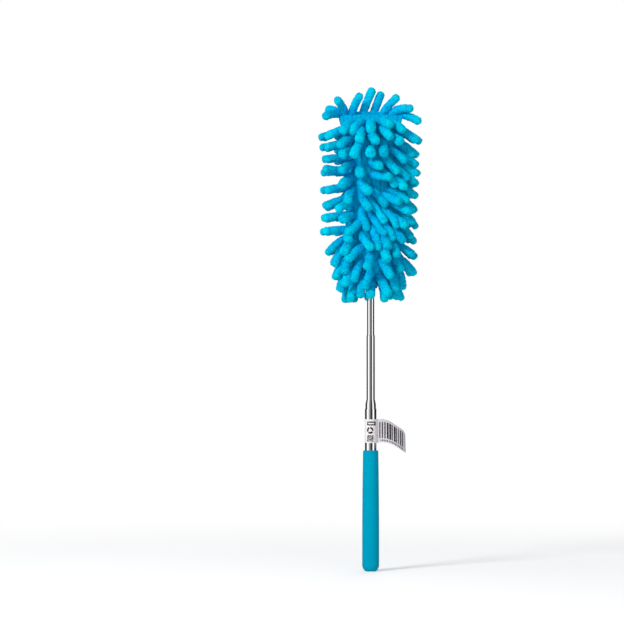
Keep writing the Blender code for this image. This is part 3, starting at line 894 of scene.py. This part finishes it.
def knob_maps(random, places, radii):
    """Points on a straight noodle, and maps of the pile's knobs over it, one for each variant."""
    angles = np.linspace(0, tau, NOODLE_SIDES, endpoint=False)
    radius = radii[:, None] * NOODLE_RADIUS
    straight = np.stack(
        [
            radius * np.cos(angles),
            radius * np.sin(angles),
            np.broadcast_to(places[:, None] * NOODLE_LENGTH, (len(places), NOODLE_SIDES)),
        ],
        axis=-1,
    )
    maps = []
    for variant in range(NOODLE_VARIANTS):
        shift = Vector(random.uniform(-500, 500, 3))
        spots = [Vector(p) for p in straight.reshape(-1, 3).tolist()]
        knobs = np.array([0.62 - noise.voronoi(p / KNOB_SIZE + shift)[0][0] for p in spots])
        lumps = np.array([noise.noise(p / LUMP_SIZE + shift) for p in spots])
        heights = knobs * KNOB_DEPTH * 2 + lumps * LUMP_DEPTH
        maps.append(heights.reshape(straight.shape[:2]))
    return straight, np.array(maps)


def noodle_frames(centres):
    """Two unit vectors across each centre line that don't twist along it."""
    tangents = unit(np.gradient(centres, axis=1))
    across = np.cross(tangents[:, 0], [0.3, 0.4, 0.85])
    across = unit(across)
    firsts = []
    for ring in range(centres.shape[1]):
        tangent = tangents[:, ring]
        across = unit(across - tangent * (across * tangent).sum(axis=-1, keepdims=True))
        firsts.append(across)
    first = np.stack(firsts, axis=1)
    return first, np.cross(tangents, first)


def noodle_faces():
    """Faces of one noodle's side and of its two ends."""
    size = NOODLE_RINGS * NOODLE_SIDES
    tip = tuple(range(size - NOODLE_SIDES, size))
    root = tuple(reversed(range(NOODLE_SIDES)))
    return grid_faces(NOODLE_RINGS, NOODLE_SIDES, closed=True) + [tip, root]


def knobbly_noodle(random, centre, first, second, reach, knob_share, straight, maps):
    """One noodle's points, with their places along it and knob heights, which the finish turns into
    painted shade and highlights, and with tints and places in the pile.
    """
    bumps = maps[random.integers(NOODLE_VARIANTS)]
    bumps = np.roll(bumps, random.integers(NOODLE_SIDES), axis=1)
    if random.random() < 0.5:
        bumps = bumps[:, ::-1]
    angles = np.linspace(0, tau, NOODLE_SIDES, endpoint=False)[None, :, None]
    ring = first[:, None] * np.cos(angles) + second[:, None] * np.sin(angles)
    points = centre[:, None] + ring * (reach[:, None] + bumps * knob_share[:, None])[..., None]
    # Knob height from 0 to 1, which sets the painted shade in the hollows and the painted highlight on the
    # tops.
    knob = np.clip(bumps / (KNOB_DEPTH * 2) * 1.4 + 0.38, 0, 1)
    tint = np.full(bumps.size, random.random())
    along = np.clip(straight[..., 2] / NOODLE_LENGTH, 0, 1)
    pile = straight.reshape(-1, 3) + random.uniform(-900, 900, 3)
    return points.reshape(-1, 3), along.ravel(), knob.ravel(), tint, pile


def build_noodles(finish):
    """The noodles, one object for each row of them."""
    random = np.random.default_rng(SEED)
    roots, outs, headings, rows = lay_out_noodles(random)
    longer = 1 + RIGHT_LONGER * np.clip(headings[:, 0], 0, 1)
    lengths = NOODLE_LENGTH * random.uniform(0.93, 1.06, len(roots)) * longer
    facing = np.where(rows == ROWS, 0.35, np.clip(-headings[:, 1], 0, 1))
    thickness = NOODLE_RADIUS * random.uniform(0.94, 1.06, len(roots)) * (1 + FRONT_FULLER * facing)
    chain = settle_noodles(roots, outs, headings, lengths, thickness)
    places, radii = noodle_profile()
    straight, maps = knob_maps(random, places, radii)
    centres = smooth_through(chain.swapaxes(0, 1), places * (NOODLE_NODES - 1)).swapaxes(0, 1)
    first, second = noodle_frames(centres)
    slim = 1 - TAPER * (1 - facing)[:, None] * smoothstep(places)
    reach = radii * slim * thickness[:, None]
    knob_share = 0.4 + 0.6 * smoothstep(radii / 0.5)
    faces = noodle_faces()
    for row in range(ROWS + 1):
        noodles = []
        for i in np.flatnonzero(rows == row):
            shape = (centres[i], first[i], second[i], reach[i])
            noodles.append(knobbly_noodle(random, *shape, knob_share, straight, maps))
        points, along, knob, tint, pile = (np.concatenate(part) for part in zip(*noodles))
        starts = range(0, len(points), NOODLE_RINGS * NOODLE_SIDES)
        all_faces = [tuple(start + corner for corner in face) for start in starts for face in faces]
        marks = {"along": along, "knob": knob, "tint": tint, "pile_place": pile}
        piece = new_object(f"noodle_row_{row + 1:02d}", points, all_faces, finish, marks)
        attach(piece, "head")
        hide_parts("chenille_sleeve")


def cloth_layers(turn, travel):
    """Outer and inner points of the sock, and how strongly each point is drawn in by stitches, which sets
    the painted shade there.
    """
    outer = cloth_points(turn, travel)
    normal = cloth_normals(turn, np.clip(travel, 0.5, CLOTH_ARC - 1.0))
    radial = np.stack([np.cos(turn), np.sin(turn), np.zeros_like(turn)], axis=-1)
    normal = unit(normal + (radial - normal) * smoothstep(-travel / 1.5)[..., None])
    top = CLOTH_ARC - travel
    column = (turn / tau * COLUMNS + 0.5) % 1.0 - 0.5
    line = np.exp(-((column * 11.0) ** 2) * 2)
    low = smoothstep(travel / 20) * smoothstep(top / 8)
    puff = (PUFF * np.cos(column * pi) ** 0.5 - SEAM_DEPTH * line) * low
    wobble = np.array([noise.noise(Vector(p) / 14.0) for p in outer.reshape(-1, 3).tolist()])
    outer = outer + normal * (puff + CLOTH_WOBBLE * wobble.reshape(turn.shape) * low)[..., None]
    pinch = np.exp(-(((top - HEM_STITCH) / 0.9) ** 2))
    outer[..., 1] *= 1 - 0.45 * pinch
    centre = outer.mean(axis=1, keepdims=True)
    inner = outer - normal * CLOTH
    inner[top < HEM] = (centre + (outer - centre) * 0.3)[top < HEM]
    # Mask for the painted shade along the stitches and the hem's stitch line.
    drawn = np.maximum(line * low * (0.35 + 0.65 * smoothstep((top - 6) / 14)), 0.6 * pinch)
    return outer, inner, drawn


def cloth_faces():
    """Faces of the outer and the inner layer, of the open neck's rim and of the top edges."""
    faces = grid_faces(CLOTH_UP, CLOTH_AROUND, closed=True)
    size = CLOTH_AROUND * CLOTH_UP
    faces += [tuple(size + corner for corner in reversed(face)) for face in faces]
    for column in range(CLOTH_AROUND):
        right = (column + 1) % CLOTH_AROUND
        faces.append((column, size + column, size + right, right))
    last = size - CLOTH_AROUND
    faces.append(tuple(last + i for i in range(CLOTH_AROUND)))
    faces.append(tuple(size + last + i for i in reversed(range(CLOTH_AROUND))))
    return faces


def build_cloth(finish):
    """Knitted sock under the noodles: tied at its neck, puffed between its columns, flat at its hem."""
    turns = np.linspace(0, tau, CLOTH_AROUND, endpoint=False)
    travels = np.linspace(NECK_BOTTOM - DOME_BOTTOM, CLOTH_ARC, CLOTH_UP)
    turn, travel = np.meshgrid(turns, travels)
    outer, inner, drawn = cloth_layers(turn, travel)
    points = np.concatenate([outer.reshape(-1, 3), inner.reshape(-1, 3)])
    place = np.stack([turn * CORE_RADIUS, travel, np.zeros_like(turn)], axis=-1).reshape(-1, 3)
    # The seam attribute carries the painted shade along the stitches.
    seam = drawn.ravel()
    marks = {"cloth_place": np.concatenate([place, place]), "seam": np.concatenate([seam, seam])}
    cloth = new_object("cloth_sock", points, cloth_faces(), finish, marks)
    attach(cloth, "head")
    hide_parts("chenille_sleeve")


# Light, floor and camera


class WorldNodes(Nodes):
    """The same short names for building the world's node tree."""

    def __init__(self, name):
        self.world = bpy.data.worlds.new(name)
        self.world.use_nodes = True
        self.tree = self.world.node_tree
        self.tree.nodes.clear()

    def background(self, colour, strength):
        node = self.add("ShaderNodeBackground")
        node.inputs["Color"].default_value = (*colour, 1.0)
        node.inputs["Strength"].default_value = strength
        return node

    def by_ray(self, kind, others, chosen):
        """One shader for a kind of ray, and another for all other rays."""
        mixed = self.add("ShaderNodeMixShader")
        self.link(self.add("ShaderNodeLightPath").outputs[kind], mixed.inputs["Fac"])
        self.link(others.outputs[0], mixed.inputs[1])
        self.link(chosen.outputs[0], mixed.inputs[2])
        return mixed


def panel_background(nodes):
    """Upright dark and pale panels all round, set by the direction from the front."""
    parts = nodes.add("ShaderNodeSeparateXYZ")
    nodes.link(nodes.add("ShaderNodeTexCoord").outputs["Generated"], parts.inputs["Vector"])
    front = nodes.math("MULTIPLY", parts.outputs["Y"], -1.0)
    angle = nodes.math("ARCTAN2", parts.outputs["X"], front)
    turn = nodes.math("MULTIPLY_ADD", angle, 1 / tau, 0.5)
    stops = [(degree / 360 + 0.5, grey(value)) for degree, value in PANELS]
    panels = nodes.add("ShaderNodeBackground")
    nodes.link(nodes.ramp(turn, stops), panels.inputs["Color"])
    return panels


def studio_world():
    """White for the camera, soft light all round, and panels for reflections."""
    nodes = WorldNodes("studio")
    white = nodes.background((1.0, 1.0, 1.0), 1.0)
    soft = nodes.background((0.95, 0.97, 1.0), 0.54)
    light = nodes.by_ray("Is Glossy Ray", soft, panel_background(nodes))
    seen = nodes.by_ray("Is Camera Ray", light, white)
    output = nodes.add("ShaderNodeOutputWorld")
    nodes.link(seen.outputs[0], output.inputs["Surface"])
    bpy.context.scene.world = nodes.world


def area_light(name, place, target, size, power):
    """Soft light aimed at a target, in metres and watts, that the pole doesn't mirror."""
    data = bpy.data.lights.new(name, "AREA")
    data.shape = "DISK"
    data.size = size
    data.energy = power
    light = bpy.data.objects.new(name, data)
    light.location = place
    light.rotation_euler = (Vector(target) - Vector(place)).to_track_quat("-Z", "Y").to_euler()
    light.visible_glossy = False
    bpy.context.scene.collection.objects.link(light)


def build_floor():
    """Disc so wide that its edge isn't seen."""
    radius, rings, around = 30.0, 12, 96
    turns = [tau * i / around for i in range(around)]
    points, faces = [(0, 0, 0)], []
    for ring in range(1, rings + 1):
        reach = ring / rings * radius
        points += [(reach * cos(a), reach * sin(a), 0) for a in turns]
    for i in range(around):
        following = (i + 1) % around
        faces.append((0, 1 + i, 1 + following))
        for ring in range(rings - 1):
            low, high = 1 + ring * around, 1 + (ring + 1) * around
            faces.append((low + i, high + i, high + following, low + following))
    floor = new_object("studio_floor", np.array(points) / MM, faces, floor_finish())
    floor.visible_glossy = False


def build_studio():
    studio_world()
    area_light("key", (-1.25, -1.6, 1.5), (0, 0, 0.35), size=0.7, power=44)
    area_light("fill", (0.3, -2.1, 0.45), (0, 0, 0.38), size=0.9, power=9)
    area_light("back", (0.4, 1.7, 1.3), (0, 0, 0.4), size=1.2, power=8)
    build_floor()
    bpy.context.scene.view_settings.view_transform = "Standard"


def build_camera():
    data = bpy.data.cameras.new("camera")
    data.sensor_width = SENSOR
    data.lens = SENSOR * CAMERA_DISTANCE / FRAME_WIDTH
    camera = bpy.data.objects.new("camera", data)
    camera.location = (CAMERA_X * MM, -CAMERA_DISTANCE * MM, CAMERA_HEIGHT * MM)
    camera.rotation_euler = (radians(90), 0, 0)
    bpy.context.scene.collection.objects.link(camera)
    bpy.context.scene.camera = camera


def finish_cad_nodes():
    """Gives the hidden working parts that stay as CAD solids their own materials."""
    nylon = plastic_finish("natural_nylon", (0.80, 0.79, 0.74), 0.45)
    black = plastic_finish("black_moulding", (0.02, 0.02, 0.022), 0.5)
    cord = plastic_finish("tie_cord", (0.003, 0.24, 0.45), 0.9)
    wire = wire_finish()
    foam = foam_finish()
    finishes = {
        "pole_end_plug": black,
        "head_socket": black,
        "socket_rivet": wire,
        "core_wire": wire,
        "foam_pad_front": foam,
        "foam_pad_back": foam,
        "neck_tie_cord": cord,
    }
    finishes.update({f"friction_ring_{n}": nylon for n in range(2, 6)})
    for node, finish in finishes.items():
        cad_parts[node].data.materials.clear()
        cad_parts[node].data.materials.append(finish)


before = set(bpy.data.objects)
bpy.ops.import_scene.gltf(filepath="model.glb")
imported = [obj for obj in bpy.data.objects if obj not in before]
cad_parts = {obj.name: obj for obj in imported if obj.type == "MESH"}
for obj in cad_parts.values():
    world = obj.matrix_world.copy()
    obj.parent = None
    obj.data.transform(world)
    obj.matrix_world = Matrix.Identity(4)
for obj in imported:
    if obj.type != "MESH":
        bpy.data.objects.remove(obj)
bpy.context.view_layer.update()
finish_cad_nodes()
build_pole(chrome_finish())
build_grip(grip_finish())
build_label(label_finish())
build_cloth(cloth_finish())
build_noodles(chenille_finish())
build_studio()
build_camera()
